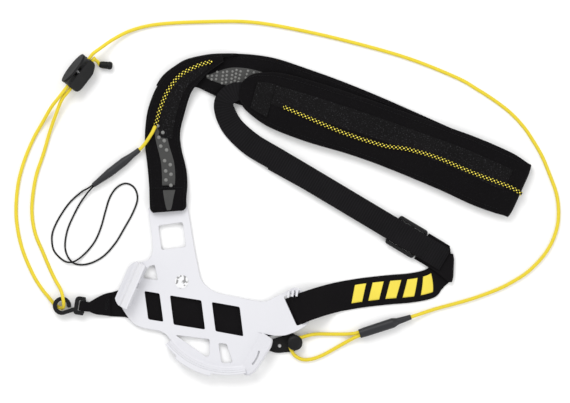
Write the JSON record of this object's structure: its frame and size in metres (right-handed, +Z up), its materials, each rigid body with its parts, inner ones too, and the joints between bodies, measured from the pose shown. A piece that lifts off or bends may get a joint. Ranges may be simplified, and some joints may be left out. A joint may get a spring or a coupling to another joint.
{
  "type": "transceiver carrying harness",
  "caption": "Carrying harness for an avalanche transceiver: moulded cradle, waist belt, padded shoulder strap, elastic cord with cord lock, hook and button, and a leash.",
  "frame": {"origin": "on the table under the middle of the cradle's seat, on the centre line of the belt webbing", "axes": "+X along the belt from the hook to the cradle's slotted wing, +Y from the belt to the cradle's neck, +Z up from the table"},
  "size_m": [0.461, 0.3033, 0.0187],
  "materials": {
    "cradle_plastic": "translucent white, satin",
    "sticker": "printed paper",
    "belt_webbing": "woven",
    "tab_webbing": "woven",
    "thread": "stitched",
    "shoulder_webbing": "ribbed weave",
    "slide_plastic": "moulded, satin",
    "foam": "closed-cell foam",
    "cover_fabric": "knitted",
    "lining_fabric": "spacer mesh",
    "binding": "folded tape",
    "patch_fabric": "stitched tape",
    "grip_rubber": "soft, matt",
    "grip_dots": "soft, matt",
    "channel_mesh": "open mesh tape",
    "yellow_cord": "braided",
    "shrink_tube": "satin",
    "ferrule": "crimped",
    "black_cord": "braided",
    "stopper_plastic": "moulded",
    "lock_plastic": "moulded, satin",
    "spring_steel": "drawn wire",
    "hook_coating": "black coating",
    "button_plastic": "moulded",
    "tab_plastic": "flexible"
  },
  "bodies": {
    "harness": {"cradle": "cradle_plastic", "cradle_label": "sticker", "belt_webbing": "belt_webbing", "hook_tab": "tab_webbing", "hook_tab_tack": "thread", "shoulder_webbing": "shoulder_webbing", "shoulder_web_tail": "shoulder_webbing", "webbing_tack": "thread", "strap_foam": "foam", "strap_cover": "cover_fabric", "strap_lining": "lining_fabric", "strap_binding": "binding", "strap_end_patch": "patch_fabric", "grip_panel": "grip_rubber", "grip_dots": "grip_dots", "leash_channel": "channel_mesh", "strap_seam_tape": "thread", "leash_cord": "yellow_cord", "leash_run": "yellow_cord", "leash_sleeve": "shrink_tube", "leash_ferrule": "ferrule", "thin_loop": "black_cord", "waist_cord": "yellow_cord", "waist_sleeve": "shrink_tube", "waist_ferrule": "ferrule", "stopper_barrel": "stopper_plastic", "stopper_cap": "stopper_plastic", "button_head": "button_plastic", "button_tab": "tab_plastic"},
    "slide": {"three_bar_slide": "slide_plastic"},
    "lock": {"lock_body": "lock_plastic", "lock_springs": "spring_steel"},
    "lock_button": {"lock_button": "lock_plastic"},
    "hook": {"hook": "hook_coating", "hook_bight": "yellow_cord"}
  },
  "joints": [
    {"name": "slide_shift", "type": "slide", "parent": "harness", "child": "slide", "axis": [-0.9282, 0.3721, 0], "range_m": [0, 0.08]},
    {"name": "lock_shift", "type": "slide", "parent": "harness", "child": "lock", "axis": [0.4848, 0.8746, 0], "range_m": [-0.01, 0]},
    {"name": "lock_press", "type": "slide", "parent": "lock", "child": "lock_button", "axis": [0.7574, -0.4199, -0.5], "range_m": [0, 0.0025], "stiffness_N_per_m": 600, "deforming": ["lock_springs"]},
    {"name": "hook_swing", "type": "hinge", "parent": "harness", "child": "hook", "pos_m": [-0.1032, -0.0085, 0.005], "axis": [0, 1, 0], "range_deg": [0, 90]}
  ]
}
